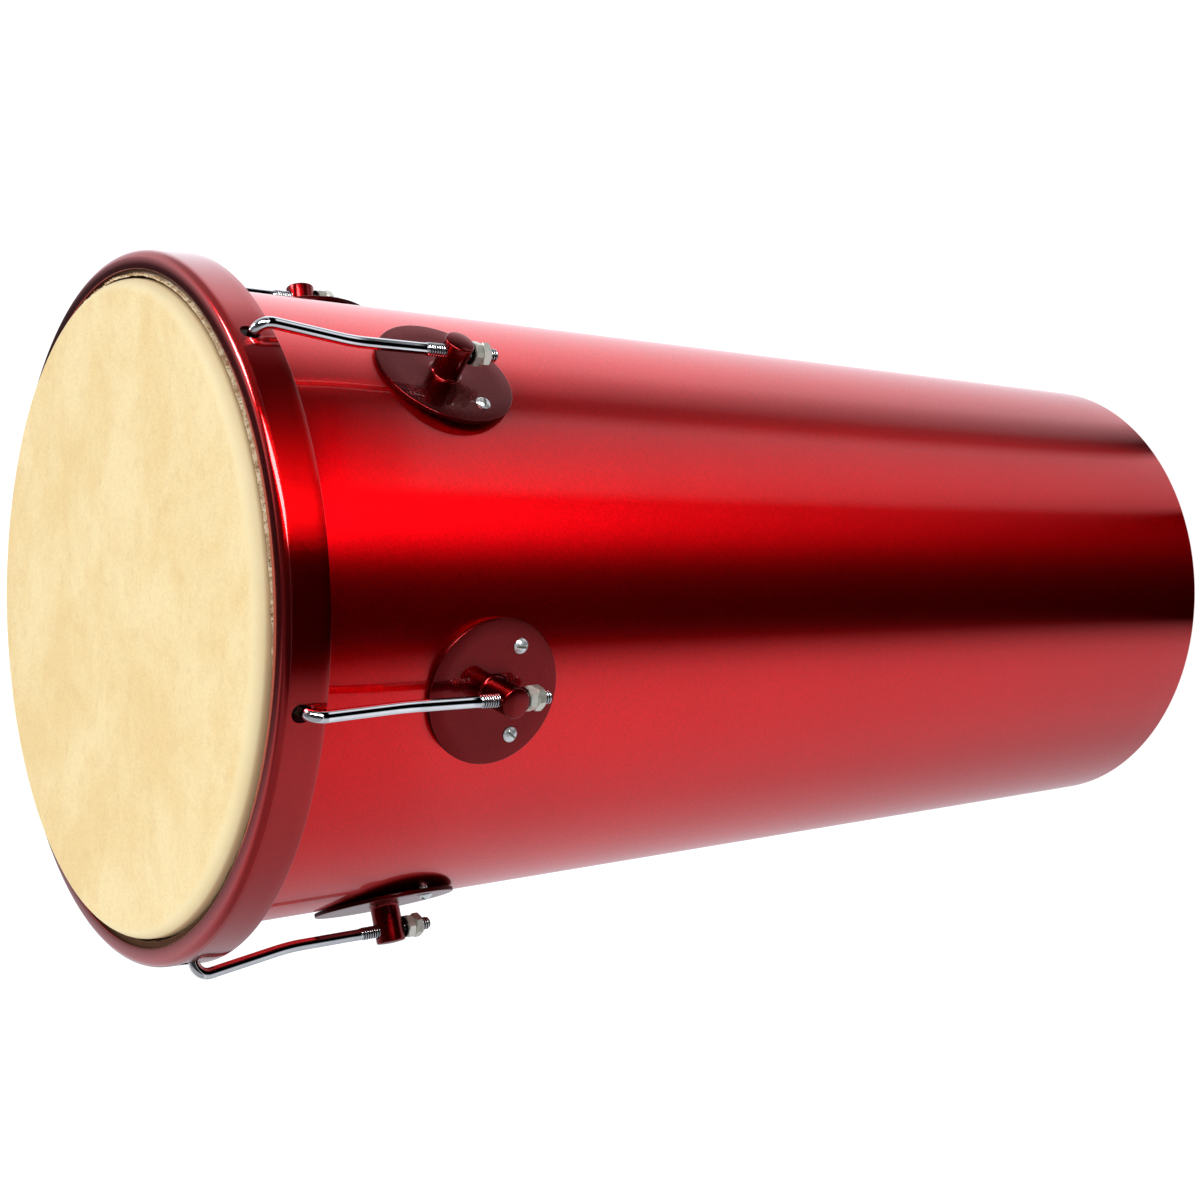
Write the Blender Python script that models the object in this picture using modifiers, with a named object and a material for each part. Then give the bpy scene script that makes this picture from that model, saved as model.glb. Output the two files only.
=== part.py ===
"""Rebolo drum: a conical sheet-metal shell with one hide head, stretched by a counter hoop and six hooked
tension rods. It stands on its open end, with its axis along Z and the head up."""

import math

import bmesh
import bpy

MM = 0.001
GAP = 0.3 * MM
FULL_TURN = 2 * math.pi

# Driving dimensions: the head's nominal diameter, the height and what the photograph shows beside them
HEIGHT = 600 * MM
HEAD_RADIUS = 152.4 * MM
FOOT_RADIUS = 121 * MM
SHELL_WALL = 1.5 * MM
BEAD_RADIUS = 6.4 * MM
HEM_WIDTH = 5 * MM
SKIN_THICKNESS = 0.8 * MM
SKIRT_BELOW_HOOP_TOP = 3 * MM

HOOP_RADIUS = 167 * MM
HOOP_LIP_RADIUS = 157.9 * MM
HOOP_HEIGHT = 22 * MM
HOOP_WALL = 2 * MM
HOOP_CORNER = 4.2 * MM
HOOP_TOP = HEIGHT - 7 * MM
HOOP_BOTTOM = HOOP_TOP - HOOP_HEIGHT

LUG_COUNT = 6
FIRST_LUG_ANGLE = math.radians(-90)
LUG_BELOW_HOOP_TOP = 112.5 * MM
PLATE_RADIUS = 33.7 * MM
PLATE_THICKNESS = 2 * MM
POST_RADIUS = 7 * MM
POST_HEIGHT = 18.8 * MM
ROD_ABOVE_PLATE = 12.1 * MM
SCREW_ALONG = 0.34 * PLATE_RADIUS
SCREW_ACROSS = 0.61 * PLATE_RADIUS

ROD_RADIUS = 2.7 * MM
THREAD_RADIUS = 3.1 * MM
THREAD_ABOVE_POST = 9.5 * MM
ROD_BEYOND_NUTS = 5.2 * MM
HOOK_BELOW_HOOP_TOP = 12 * MM
HOOK_BEND_RADIUS = 6.2 * MM
HOOK_CENTRE_RADIUS = HOOP_RADIUS - 0.6 * MM
HOOK_TIP_RADIUS = 158.9 * MM
HOOK_LEAN = math.radians(10.8)
DOGLEG_BEND_RADIUS = 110 * MM
SLOT_WIDTH = 8 * MM
SLOT_LENGTH = 9.2 * MM

NUT_FLATS = 10.2 * MM
NUT_THICKNESS = 4 * MM
WASHER_RADIUS = 5.2 * MM
WASHER_THICKNESS = 0.8 * MM
FLESH_RING_RADIUS = 2 * MM
FLESH_RING_CENTRE = (158.6 * MM, HOOP_TOP - 5.6 * MM)
COLLAR_BELOW_RING = 2.5 * MM
TUCK_DROP = 1.7 * MM
TUCK_REACH = 3.4 * MM
FRINGE_REACH = 1.9 * MM
FRINGE_BELOW_HOOP_TOP = 0.6 * MM

SCREW_RADIUS = 1.9 * MM
SCREW_HEAD_RADIUS = 3.9 * MM
SCREW_HEAD_HEIGHT = 2.4 * MM
SCREW_SLOT_WIDTH = 1.1 * MM
SCREW_NUT_FLATS = 7 * MM
SCREW_NUT_THICKNESS = 3.2 * MM
SCREW_BEYOND_NUT = 1.2 * MM
SCREW_SLOT_DEPTH = 0.6 * MM

PLATE_EDGE = 0.5 * MM
POST_WELD = 1.8 * MM
ROD_CLEARANCE = 0.35 * MM
THREAD_CHAMFER = 0.8 * MM
THREAD_RUNOUT = 0.3 * MM

# Sides of the round pieces, and the least bend that shows as an edge
RING_SEGMENTS = 48
LUG_SEGMENTS = 24
HOLE_SEGMENTS = 12
SCREW_SEGMENTS = 10
DRILL_SEGMENTS = 8
WIRE_SIDES = 6
SHARP_EDGE = math.radians(35)

# Worked out from the driving dimensions
CONE_TAN = (HEAD_RADIUS - FOOT_RADIUS) / HOOP_BOTTOM
CONE_ANGLE = math.atan(CONE_TAN)
LUG_HEIGHT = HOOP_TOP - LUG_BELOW_HOOP_TOP
LUG_SHELL_RADIUS = FOOT_RADIUS + LUG_HEIGHT * CONE_TAN
PLATE_BASE = (
    LUG_SHELL_RADIUS + GAP * math.cos(CONE_ANGLE),
    LUG_HEIGHT - GAP * math.sin(CONE_ANGLE),
)
ROD_STATION = PLATE_THICKNESS + ROD_ABOVE_PLATE
ROD_AXIS_RADIUS = PLATE_BASE[0] + ROD_STATION * math.cos(CONE_ANGLE)
POST_AXIS_HEIGHT = PLATE_BASE[1] - ROD_STATION * math.sin(CONE_ANGLE)
HOOK_HEIGHT = HOOP_TOP - HOOK_BELOW_HOOP_TOP
SHELL_EDGE_DROP = LUG_SHELL_RADIUS - math.sqrt(
    LUG_SHELL_RADIUS**2 - (SCREW_ACROSS + SCREW_NUT_FLATS / 2) ** 2
)
SCREW_NUT_FACE = -2 * GAP - SHELL_WALL - SHELL_EDGE_DROP
LUG_ANGLES = [FIRST_LUG_ANGLE + i * FULL_TURN / LUG_COUNT for i in range(LUG_COUNT)]

# Stations along a rod's straight length, from the lug post's axis toward the head
WASHER_TOP = -POST_RADIUS - GAP
NUT_TOP = WASHER_TOP - WASHER_THICKNESS - GAP
LOCK_NUT_TOP = NUT_TOP - NUT_THICKNESS - GAP
ROD_END = LOCK_NUT_TOP - NUT_THICKNESS - ROD_BEYOND_NUTS
THREAD_TOP = POST_RADIUS + THREAD_ABOVE_POST


def clear_scene():
    for obj in list(bpy.data.objects):
        bpy.data.objects.remove(obj, do_unlink=True)


def new_collection(name):
    collection = bpy.data.collections.new(name)
    bpy.context.scene.collection.children.link(collection)
    return collection


def material(name, colour, roughness, metallic):
    made = bpy.data.materials.new(name)
    made.use_nodes = True
    shader = made.node_tree.nodes["Principled BSDF"]
    shader.inputs["Base Color"].default_value = (*colour, 1)
    shader.inputs["Roughness"].default_value = roughness
    shader.inputs["Metallic"].default_value = metallic
    return made


clear_scene()
PARTS = new_collection("rebolo_drum")
CUTTERS = new_collection("cutters")
CANDY_RED = material("candy_red_lacquer", (0.45, 0.01, 0.015), 0.22, 0.6)
CHROME = material("chromed_steel", (0.85, 0.86, 0.88), 0.08, 1)
NICKEL = material("nickelled_steel", (0.55, 0.55, 0.5), 0.35, 1)
ZINC = material("zinc_steel", (0.68, 0.71, 0.74), 0.3, 1)
DARK_STEEL = material("dark_steel", (0.05, 0.05, 0.05), 0.5, 1)
WIRE_STEEL = material("wire_steel", (0.4, 0.4, 0.4), 0.45, 1)
HIDE = material("natural_hide", (0.83, 0.64, 0.38), 0.55, 0)


def add_object(name, data, collection, finish=None):
    obj = bpy.data.objects.new(name, data)
    collection.objects.link(obj)
    if finish:
        data.materials.append(finish)
    return obj


def as_cutter(obj):
    """Turns an object into a helper that only cuts."""
    for owner in list(obj.users_collection):
        owner.objects.unlink(obj)
    CUTTERS.objects.link(obj)
    obj.hide_render = True
    obj.display_type = "WIRE"
    return obj


def signed_area(points):
    pairs = zip(points, points[1:] + points[:1])
    return sum(x0 * z1 - x1 * z0 for (x0, z0), (x1, z1) in pairs) / 2


def turned(name, profile, segments, finish=None):
    """A solid of revolution about local Z, from the (radius, height) points of its closed section. Points
    on the axis are its poles, and the section is open between them."""
    on_axis = [i for i, (radius, _) in enumerate(profile) if radius == 0]
    points = profile if signed_area(profile) < 0 else profile[::-1]
    edges = [(i, (i + 1) % len(points)) for i in range(len(points))]
    if on_axis:
        edges = [(i, j) for i, j in edges if points[i][0] or points[j][0]]
    mesh = bpy.data.meshes.new(name)
    mesh.from_pydata([(radius, 0, height) for radius, height in points], edges, [])
    obj = add_object(name, mesh, PARTS, finish)
    screw = obj.modifiers.new("turn", "SCREW")
    screw.axis = "Z"
    screw.steps = segments
    screw.render_steps = segments
    screw.use_merge_vertices = True
    screw.merge_threshold = 0.00001
    return obj


def arc(centre, radius, start, end, steps):
    """Points on a circle round centre, from one angle to the other in degrees."""
    angles = [math.radians(start + (end - start) * i / steps) for i in range(steps + 1)]
    return [(centre[0] + radius * math.cos(a), centre[1] + radius * math.sin(a)) for a in angles]


def strip(path, thickness):
    """The closed section of a sheet of this thickness that follows the path."""
    sides = []
    for side in (0.5, -0.5):
        for i, (x, z) in enumerate(path):
            x0, z0 = path[max(i - 1, 0)]
            x1, z1 = path[min(i + 1, len(path) - 1)]
            length = math.hypot(x1 - x0, z1 - z0)
            offset = side * thickness / length
            sides.append((x - (z1 - z0) * offset, z + (x1 - x0) * offset))
    half = len(path)
    return sides[:half] + sides[half:][::-1]


def cylinder(name, radius, depth, segments):
    """A cylinder or a prism along local Z, centred on its origin."""
    mesh = bpy.data.meshes.new(name)
    shape = bmesh.new()
    bmesh.ops.create_cone(
        shape, cap_ends=True, segments=segments, radius1=radius, radius2=radius, depth=depth
    )
    shape.to_mesh(mesh)
    shape.free()
    return add_object(name, mesh, PARTS)


def block(name, size):
    mesh = bpy.data.meshes.new(name)
    shape = bmesh.new()
    bmesh.ops.create_cube(shape, size=1)
    bmesh.ops.scale(shape, vec=size, verts=shape.verts)
    shape.to_mesh(mesh)
    shape.free()
    return add_object(name, mesh, PARTS)


def cut(obj, cutter):
    boolean = obj.modifiers.new("cut_" + cutter.name, "BOOLEAN")
    boolean.operation = "DIFFERENCE"
    boolean.object = as_cutter(cutter)
    boolean.solver = "EXACT"


def settle(obj):
    """Puts the object's modifiers into its mesh, and shades it smooth but for its edges."""
    bpy.context.view_layer.update()
    evaluated = obj.evaluated_get(bpy.context.evaluated_depsgraph_get())
    mesh = bpy.data.meshes.new_from_object(evaluated)
    mesh.shade_smooth()
    mesh.set_sharp_from_angle(angle=SHARP_EDGE)
    obj.modifiers.clear()
    obj.data = mesh
    return mesh


def finished_mesh(obj, finish):
    """The object's settled mesh, for copies to share. The object is removed."""
    mesh = settle(obj)
    bpy.data.objects.remove(obj, do_unlink=True)
    mesh.materials.append(finish)
    return mesh


def put(obj, radius, height, angle, tilt=0.0):
    """Places an object on the drum: distance from the axis, height, and angle round the axis."""
    obj.location = (radius * math.cos(angle), radius * math.sin(angle), height)
    obj.rotation_euler = (0, tilt, angle)
    return obj


# A lug's own frame has Z out of the shell's wall and X along the wall, away from the head
LUG_TILT = math.radians(90) + CONE_ANGLE


def lug_point(x, y, z, angle):
    """The place of a point of the lug's frame, as distance from the axis, height and angle round it."""
    along = math.cos(CONE_ANGLE)
    out = math.sin(CONE_ANGLE)
    radial = PLATE_BASE[0] - x * out + z * along
    height = PLATE_BASE[1] - x * along - z * out
    return math.hypot(radial, y), height, angle + math.atan2(y, radial)


def put_on_lug(obj, x, y, z, angle):
    radius, height, at = lug_point(x, y, z, angle)
    obj.location = (radius * math.cos(at), radius * math.sin(at), height)
    obj.rotation_euler = (0, LUG_TILT, angle)
    return obj


def screw_places(angle):
    return [(SCREW_ALONG, side * SCREW_ACROSS, angle) for side in (-1, 1)]


def make_shell():
    bead_centre = (HEAD_RADIUS - BEAD_RADIUS, HEIGHT - SKIN_THICKNESS - GAP - BEAD_RADIUS)
    bead_inner = BEAD_RADIUS - SHELL_WALL
    profile = arc(bead_centre, BEAD_RADIUS, 0, 180, 7)
    profile += arc(bead_centre, bead_inner, 180, 0, 5)
    profile += [
        (HEAD_RADIUS - SHELL_WALL, HOOP_BOTTOM),
        (FOOT_RADIUS - SHELL_WALL + SHELL_WALL * CONE_TAN, SHELL_WALL),
        (FOOT_RADIUS - HEM_WIDTH, SHELL_WALL),
        (FOOT_RADIUS - HEM_WIDTH, 0),
        (FOOT_RADIUS, 0),
        (HEAD_RADIUS, HOOP_BOTTOM),
    ]
    shell = turned("shell", profile, RING_SEGMENTS, CANDY_RED)
    depth = 4 * (SHELL_WALL + SHELL_EDGE_DROP)
    for index, angle in enumerate(LUG_ANGLES):
        for side, place in zip("ab", screw_places(angle)):
            drill = cylinder(f"shell_drill_{index}{side}", SCREW_RADIUS + GAP, depth, DRILL_SEGMENTS)
            cut(shell, put_on_lug(drill, place[0], place[1], 0, place[2]))
    settle(shell)


def make_skin():
    """The hide: the playing face, the stretch beside the bearing edge that slides as the head is tightened,
    and the tucked edge that is lapped round the flesh ring and trimmed just above it."""
    centre = (HEAD_RADIUS - BEAD_RADIUS, HEIGHT - SKIN_THICKNESS - GAP - BEAD_RADIUS)
    inside = BEAD_RADIUS + GAP
    skirt_bottom = HOOP_TOP - SKIRT_BELOW_HOOP_TOP
    profile = [(0, HEIGHT)]
    profile += arc(centre, inside + SKIN_THICKNESS, 90, 0, 5)
    profile += [(centre[0] + inside + SKIN_THICKNESS, skirt_bottom)]
    profile += [(centre[0] + inside, skirt_bottom)]
    profile += arc(centre, inside, 0, 90, 5)
    profile += [(0, HEIGHT - SKIN_THICKNESS)]
    settle(turned("drum_skin", profile, RING_SEGMENTS, HIDE))

    collar_bottom = FLESH_RING_CENTRE[1] - COLLAR_BELOW_RING
    collar = [
        (HEAD_RADIUS + GAP, skirt_bottom - GAP),
        (HEAD_RADIUS + GAP + SKIN_THICKNESS, skirt_bottom - GAP),
        (HEAD_RADIUS + GAP + SKIN_THICKNESS, collar_bottom),
        (HEAD_RADIUS + GAP, collar_bottom),
    ]
    settle(turned("skin_collar", collar, RING_SEGMENTS, HIDE))

    middle = HEAD_RADIUS + GAP + SKIN_THICKNESS / 2
    lap = FLESH_RING_RADIUS + GAP + SKIN_THICKNESS / 2
    path = [
        (middle, collar_bottom - GAP),
        (middle + TUCK_DROP / 2, collar_bottom - TUCK_DROP),
        (middle + TUCK_REACH, collar_bottom - 0.75 * TUCK_DROP),
    ]
    path += arc(FLESH_RING_CENTRE, lap, -90, 90, 4)
    path += [
        (middle + TUCK_REACH, FLESH_RING_CENTRE[1] + lap),
        (middle + FRINGE_REACH, HOOP_TOP - FRINGE_BELOW_HOOP_TOP),
    ]
    settle(turned("skin_tuck", strip(path, SKIN_THICKNESS), RING_SEGMENTS, HIDE))


def make_flesh_ring():
    section = arc(FLESH_RING_CENTRE, FLESH_RING_RADIUS, 0, 360 - 360 / WIRE_SIDES, WIRE_SIDES - 1)
    settle(turned("flesh_ring", section, RING_SEGMENTS, WIRE_STEEL))


def make_slot_cutter(index, angle):
    """A round-ended slot through the hoop's band, long along the drum."""
    bottom = HOOK_HEIGHT - ROD_RADIUS - GAP
    slot = cylinder(f"slot_{index}", SLOT_WIDTH / 2, 6 * HOOP_WALL, HOLE_SEGMENTS)
    half_straight = (SLOT_LENGTH - SLOT_WIDTH) / 2
    for vertex in slot.data.vertices:
        vertex.co.x += math.copysign(half_straight, vertex.co.x)
    return put(slot, HOOP_RADIUS, bottom + SLOT_LENGTH / 2, angle, math.radians(90))


def make_counter_hoop():
    corner = (HOOP_RADIUS - HOOP_CORNER, HOOP_TOP - HOOP_CORNER)
    profile = [(HOOP_LIP_RADIUS, HOOP_TOP)]
    profile += arc(corner, HOOP_CORNER, 90, 0, 5)
    profile += [(HOOP_RADIUS, HOOP_BOTTOM), (HOOP_RADIUS - HOOP_WALL, HOOP_BOTTOM)]
    profile += arc(corner, HOOP_CORNER - HOOP_WALL, 0, 90, 3)
    profile += [(HOOP_LIP_RADIUS, HOOP_TOP - HOOP_WALL)]
    hoop = turned("counter_hoop", profile, RING_SEGMENTS, CANDY_RED)
    for index, angle in enumerate(LUG_ANGLES):
        cut(hoop, make_slot_cutter(index, angle))
    settle(hoop)


def make_lug_mesh():
    edge = PLATE_EDGE
    top = PLATE_THICKNESS + POST_HEIGHT
    profile = [
        (0, top),
        (POST_RADIUS - 2 * edge, top - 0.5 * edge),
        (POST_RADIUS, top - 2 * edge),
        (POST_RADIUS, PLATE_THICKNESS + POST_WELD),
        (POST_RADIUS + POST_WELD, PLATE_THICKNESS),
        (PLATE_RADIUS - edge, PLATE_THICKNESS),
        (PLATE_RADIUS, PLATE_THICKNESS - edge),
        (PLATE_RADIUS, 0),
        (0, 0),
    ]
    lug = turned("lug_blank", profile, LUG_SEGMENTS)
    rod_hole = cylinder("rod_hole", THREAD_RADIUS + ROD_CLEARANCE, 4 * POST_RADIUS, HOLE_SEGMENTS)
    rod_hole.location = (0, 0, ROD_STATION)
    rod_hole.rotation_euler = (0, math.radians(90), 0)
    cut(lug, rod_hole)
    for side, place in zip("ab", screw_places(0)):
        drill = cylinder(f"plate_drill_{side}", SCREW_RADIUS + GAP, 4 * PLATE_THICKNESS, DRILL_SEGMENTS)
        drill.location = (place[0], place[1], 0)
        cut(lug, drill)
    return finished_mesh(lug, CANDY_RED)


def on_rod(station):
    """A place on the rod's straight length, parallel to the wall, as (distance from the axis, height)."""
    out = station * math.sin(CONE_ANGLE)
    return ROD_AXIS_RADIUS + out, POST_AXIS_HEIGHT + station * math.cos(CONE_ANGLE)


def rod_points():
    """The rod's centreline from its threaded end to the hook's tip, as (distance from the axis, height), and
    its radius at each point. It runs straight through the lug, leans out to clear the hoop and
    hooks inward."""
    hook_centre = (HOOK_CENTRE_RADIUS, HOOK_HEIGHT - HOOK_BEND_RADIUS)
    hook = arc(hook_centre, HOOK_BEND_RADIUS, -math.degrees(HOOK_LEAN), 90, 6)
    # The two straight lengths would meet this far above the post's axis
    lean = math.tan(HOOK_LEAN)
    hook_out = hook[0][0] - ROD_AXIS_RADIUS
    hook_up = hook[0][1] - POST_AXIS_HEIGHT
    corner_up = (hook_up * lean - hook_out) / (lean - CONE_TAN)
    reach = DOGLEG_BEND_RADIUS * math.tan((HOOK_LEAN - CONE_ANGLE) / 2)
    bend_start = on_rod(corner_up / math.cos(CONE_ANGLE) - reach)
    bend_centre = (
        bend_start[0] + DOGLEG_BEND_RADIUS * math.cos(CONE_ANGLE),
        bend_start[1] - DOGLEG_BEND_RADIUS * math.sin(CONE_ANGLE),
    )
    bend_sides = [180 - math.degrees(angle) for angle in (CONE_ANGLE, HOOK_LEAN)]
    bend = arc(bend_centre, DOGLEG_BEND_RADIUS, *bend_sides, 3)
    thread = [
        (*on_rod(ROD_END), THREAD_RADIUS - THREAD_CHAMFER),
        (*on_rod(ROD_END + THREAD_CHAMFER), THREAD_RADIUS),
        (*on_rod(THREAD_TOP), THREAD_RADIUS),
    ]
    shank = [on_rod(THREAD_TOP + THREAD_RUNOUT)] + bend + hook
    shank.append((HOOK_TIP_RADIUS, HOOK_HEIGHT))
    return thread + [(radius, height, ROD_RADIUS) for radius, height in shank]


def make_rod_curve():
    curve = bpy.data.curves.new("tension_rod", "CURVE")
    curve.dimensions = "3D"
    curve.bevel_depth = ROD_RADIUS
    curve.bevel_resolution = 2
    curve.use_fill_caps = True
    spline = curve.splines.new("POLY")
    points = rod_points()
    spline.points.add(len(points) - 1)
    for point, (radius, height, thick) in zip(spline.points, points):
        point.co = (radius - ROD_AXIS_RADIUS, 0, height - HOOK_HEIGHT, 1)
        point.radius = thick / ROD_RADIUS
    curve.materials.append(CHROME)
    return curve


def make_nut_mesh(name, flats, thickness, bore, finish):
    nut = cylinder(name + "_blank", flats / 2 / math.cos(math.radians(30)), thickness, 6)
    cut(nut, cylinder(name + "_bore", bore, 2 * thickness, HOLE_SEGMENTS))
    return finished_mesh(nut, finish)


def make_screw_mesh():
    """A round-head slotted screw, its head's underside at height 0."""
    tip = SCREW_NUT_FACE - SCREW_NUT_THICKNESS - SCREW_BEYOND_NUT - PLATE_THICKNESS - GAP
    profile = [
        (0, SCREW_HEAD_HEIGHT),
        (0.62 * SCREW_HEAD_RADIUS, 0.87 * SCREW_HEAD_HEIGHT),
        (0.93 * SCREW_HEAD_RADIUS, 0.5 * SCREW_HEAD_HEIGHT),
        (SCREW_HEAD_RADIUS, 0),
        (SCREW_RADIUS, 0),
        (SCREW_RADIUS, tip),
        (0, tip),
    ]
    screw = turned("screw_blank", profile, SCREW_SEGMENTS)
    slot = block("screw_slot", (3 * SCREW_HEAD_RADIUS, SCREW_SLOT_WIDTH, 2 * SCREW_SLOT_DEPTH))
    slot.location = (0, 0, SCREW_HEAD_HEIGHT)
    cut(screw, slot)
    return finished_mesh(screw, ZINC)


def make_hardware():
    lug_mesh = make_lug_mesh()
    rod_curve = make_rod_curve()
    bore = THREAD_RADIUS + GAP
    nut_mesh = make_nut_mesh("rod_nut", NUT_FLATS, NUT_THICKNESS, bore, NICKEL)
    screw_mesh = make_screw_mesh()
    screw_nut_mesh = make_nut_mesh(
        "screw_nut", SCREW_NUT_FLATS, SCREW_NUT_THICKNESS, SCREW_RADIUS + GAP, ZINC
    )
    washer_profile = [
        (bore, 0),
        (WASHER_RADIUS, 0),
        (WASHER_RADIUS, -WASHER_THICKNESS),
        (bore, -WASHER_THICKNESS),
    ]
    washer_mesh = finished_mesh(turned("washer_blank", washer_profile, HOLE_SEGMENTS), DARK_STEEL)
    for index, angle in enumerate(LUG_ANGLES):
        number = index + 1
        put_on_lug(add_object(f"lug_{number}", lug_mesh, PARTS), 0, 0, 0, angle)
        put(add_object(f"tension_rod_{number}", rod_curve, PARTS), ROD_AXIS_RADIUS, HOOK_HEIGHT, angle)
        washer = add_object(f"seat_washer_{number}", washer_mesh, PARTS)
        put(washer, *on_rod(WASHER_TOP), angle, CONE_ANGLE)
        for name, top in (("tension_nut", NUT_TOP), ("lock_nut", LOCK_NUT_TOP)):
            nut = add_object(f"{name}_{number}", nut_mesh, PARTS)
            put(nut, *on_rod(top - NUT_THICKNESS / 2), angle, CONE_ANGLE)
        for side, (x, y, at) in zip("ab", screw_places(angle)):
            screw = add_object(f"lug_screw_{number}{side}", screw_mesh, PARTS)
            put_on_lug(screw, x, y, PLATE_THICKNESS + GAP, at)
            screw_nut = add_object(f"screw_nut_{number}{side}", screw_nut_mesh, PARTS)
            put_on_lug(screw_nut, x, y, SCREW_NUT_FACE - SCREW_NUT_THICKNESS / 2, at)


make_shell()
make_skin()
make_flesh_ring()
make_counter_hoop()
make_hardware()
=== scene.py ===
"""The looks of the rebolo drum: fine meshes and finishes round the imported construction."""

import math

import bmesh
import bpy
from mathutils import Matrix, Vector, noise


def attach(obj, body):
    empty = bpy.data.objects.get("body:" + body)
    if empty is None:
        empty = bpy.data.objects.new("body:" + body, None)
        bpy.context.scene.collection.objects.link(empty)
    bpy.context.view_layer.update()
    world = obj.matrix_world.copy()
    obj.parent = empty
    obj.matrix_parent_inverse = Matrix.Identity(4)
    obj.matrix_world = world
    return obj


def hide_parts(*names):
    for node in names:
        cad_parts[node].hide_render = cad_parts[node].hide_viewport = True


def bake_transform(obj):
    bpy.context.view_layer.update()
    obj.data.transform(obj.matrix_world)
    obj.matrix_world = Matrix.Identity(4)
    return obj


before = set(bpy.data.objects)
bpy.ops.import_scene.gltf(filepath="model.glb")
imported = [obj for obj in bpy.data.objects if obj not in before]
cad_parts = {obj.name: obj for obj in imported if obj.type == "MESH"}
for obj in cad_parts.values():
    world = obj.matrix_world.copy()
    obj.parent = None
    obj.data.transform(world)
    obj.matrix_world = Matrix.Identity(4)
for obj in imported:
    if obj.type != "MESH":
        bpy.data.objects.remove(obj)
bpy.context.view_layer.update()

MM = 0.001
TURN = 2 * math.pi
NUMBERS = range(1, 7)

# Sizes that the construction has too
HEIGHT = 600 * MM
HEAD_RADIUS = 152.4 * MM
FOOT_RADIUS = 121 * MM
SHELL_WALL = 1.5 * MM
BEAD_RADIUS = 6.4 * MM
HEM_WIDTH = 5 * MM
SKIN_THICKNESS = 0.8 * MM
GAP = 0.3 * MM
HOOP_RADIUS = 167 * MM
HOOP_LIP_RADIUS = 157.9 * MM
HOOP_WALL = 2 * MM
HOOP_CORNER = 4.2 * MM
HOOP_TOP = 593 * MM
HOOP_BOTTOM = 571 * MM
LUG_BELOW_HOOP_TOP = 112.5 * MM
PLATE_RADIUS = 33.7 * MM
PLATE_THICKNESS = 2 * MM
POST_RADIUS = 7 * MM
POST_HEIGHT = 18.8 * MM
ROD_ABOVE_PLATE = 12.1 * MM
SCREW_ALONG = 0.34 * PLATE_RADIUS
SCREW_ACROSS = 0.61 * PLATE_RADIUS
ROD_RADIUS = 2.7 * MM
THREAD_RADIUS = 3.1 * MM
THREAD_ABOVE_POST = 9.5 * MM
ROD_BEYOND_NUTS = 5.2 * MM
HOOK_HEIGHT = 581 * MM
HOOK_BEND_RADIUS = 6.2 * MM
HOOK_CENTRE_RADIUS = 166.4 * MM
HOOK_TIP_RADIUS = 158.9 * MM
HOOK_LEAN = math.radians(10.8)
DOGLEG_BEND_RADIUS = 110 * MM
SLOT_WIDTH = 8 * MM
SLOT_LENGTH = 9.2 * MM
NUT_FLATS = 10.2 * MM
NUT_THICKNESS = 4 * MM
WASHER_RADIUS = 5.2 * MM
WASHER_THICKNESS = 0.8 * MM
FLESH_RING_RADIUS = 2 * MM
FLESH_RING_CENTRE = (158.6 * MM, 587.4 * MM)
SCREW_RADIUS = 1.9 * MM
SCREW_HEAD_RADIUS = 3.9 * MM
SCREW_HEAD_HEIGHT = 2.4 * MM
SCREW_SLOT_WIDTH = 1.1 * MM
SCREW_NUT_FLATS = 7 * MM
SCREW_NUT_THICKNESS = 3.2 * MM
SCREW_BEYOND_NUT = 1.2 * MM
ROD_CLEARANCE = 0.35 * MM

# Sizes of the looks alone
LIP_SLOPE = math.radians(7)
FRINGE_SIDE = math.radians(10)
THREAD_ROOT_RADIUS = 2.42 * MM
THREAD_PITCH = 1.27 * MM
THREAD_RUNOUT = 1.5 * THREAD_PITCH
SHARP_EDGE = 35

# Worked out from the sizes
CONE_TAN = (HEAD_RADIUS - FOOT_RADIUS) / HOOP_BOTTOM
CONE_ANGLE = math.atan(CONE_TAN)
LUG_HEIGHT = HOOP_TOP - LUG_BELOW_HOOP_TOP
LUG_SHELL_RADIUS = FOOT_RADIUS + LUG_HEIGHT * CONE_TAN
PLATE_BASE = (
    LUG_SHELL_RADIUS + GAP * math.cos(CONE_ANGLE),
    LUG_HEIGHT - GAP * math.sin(CONE_ANGLE),
)
ROD_STATION = PLATE_THICKNESS + ROD_ABOVE_PLATE
ROD_AXIS_RADIUS = PLATE_BASE[0] + ROD_STATION * math.cos(CONE_ANGLE)
POST_AXIS_HEIGHT = PLATE_BASE[1] - ROD_STATION * math.sin(CONE_ANGLE)
SHELL_EDGE_DROP = LUG_SHELL_RADIUS - math.sqrt(
    LUG_SHELL_RADIUS**2 - (SCREW_ACROSS + SCREW_NUT_FLATS / 2) ** 2
)
SCREW_NUT_FACE = -2 * GAP - SHELL_WALL - SHELL_EDGE_DROP
BEAD_CENTRE = (HEAD_RADIUS - BEAD_RADIUS, HEIGHT - SKIN_THICKNESS - GAP - BEAD_RADIUS)

# Stations along a rod's straight length, from the lug post's axis toward the head
WASHER_TOP = -POST_RADIUS - GAP
NUT_TOP = WASHER_TOP - WASHER_THICKNESS - GAP
LOCK_NUT_TOP = NUT_TOP - NUT_THICKNESS - GAP
ROD_END = LOCK_NUT_TOP - NUT_THICKNESS - ROD_BEYOND_NUTS
THREAD_TOP = POST_RADIUS + THREAD_ABOVE_POST


def new_object(name, data):
    obj = bpy.data.objects.new(name, data)
    bpy.context.scene.collection.objects.link(obj)
    return obj


# Camera

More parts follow.
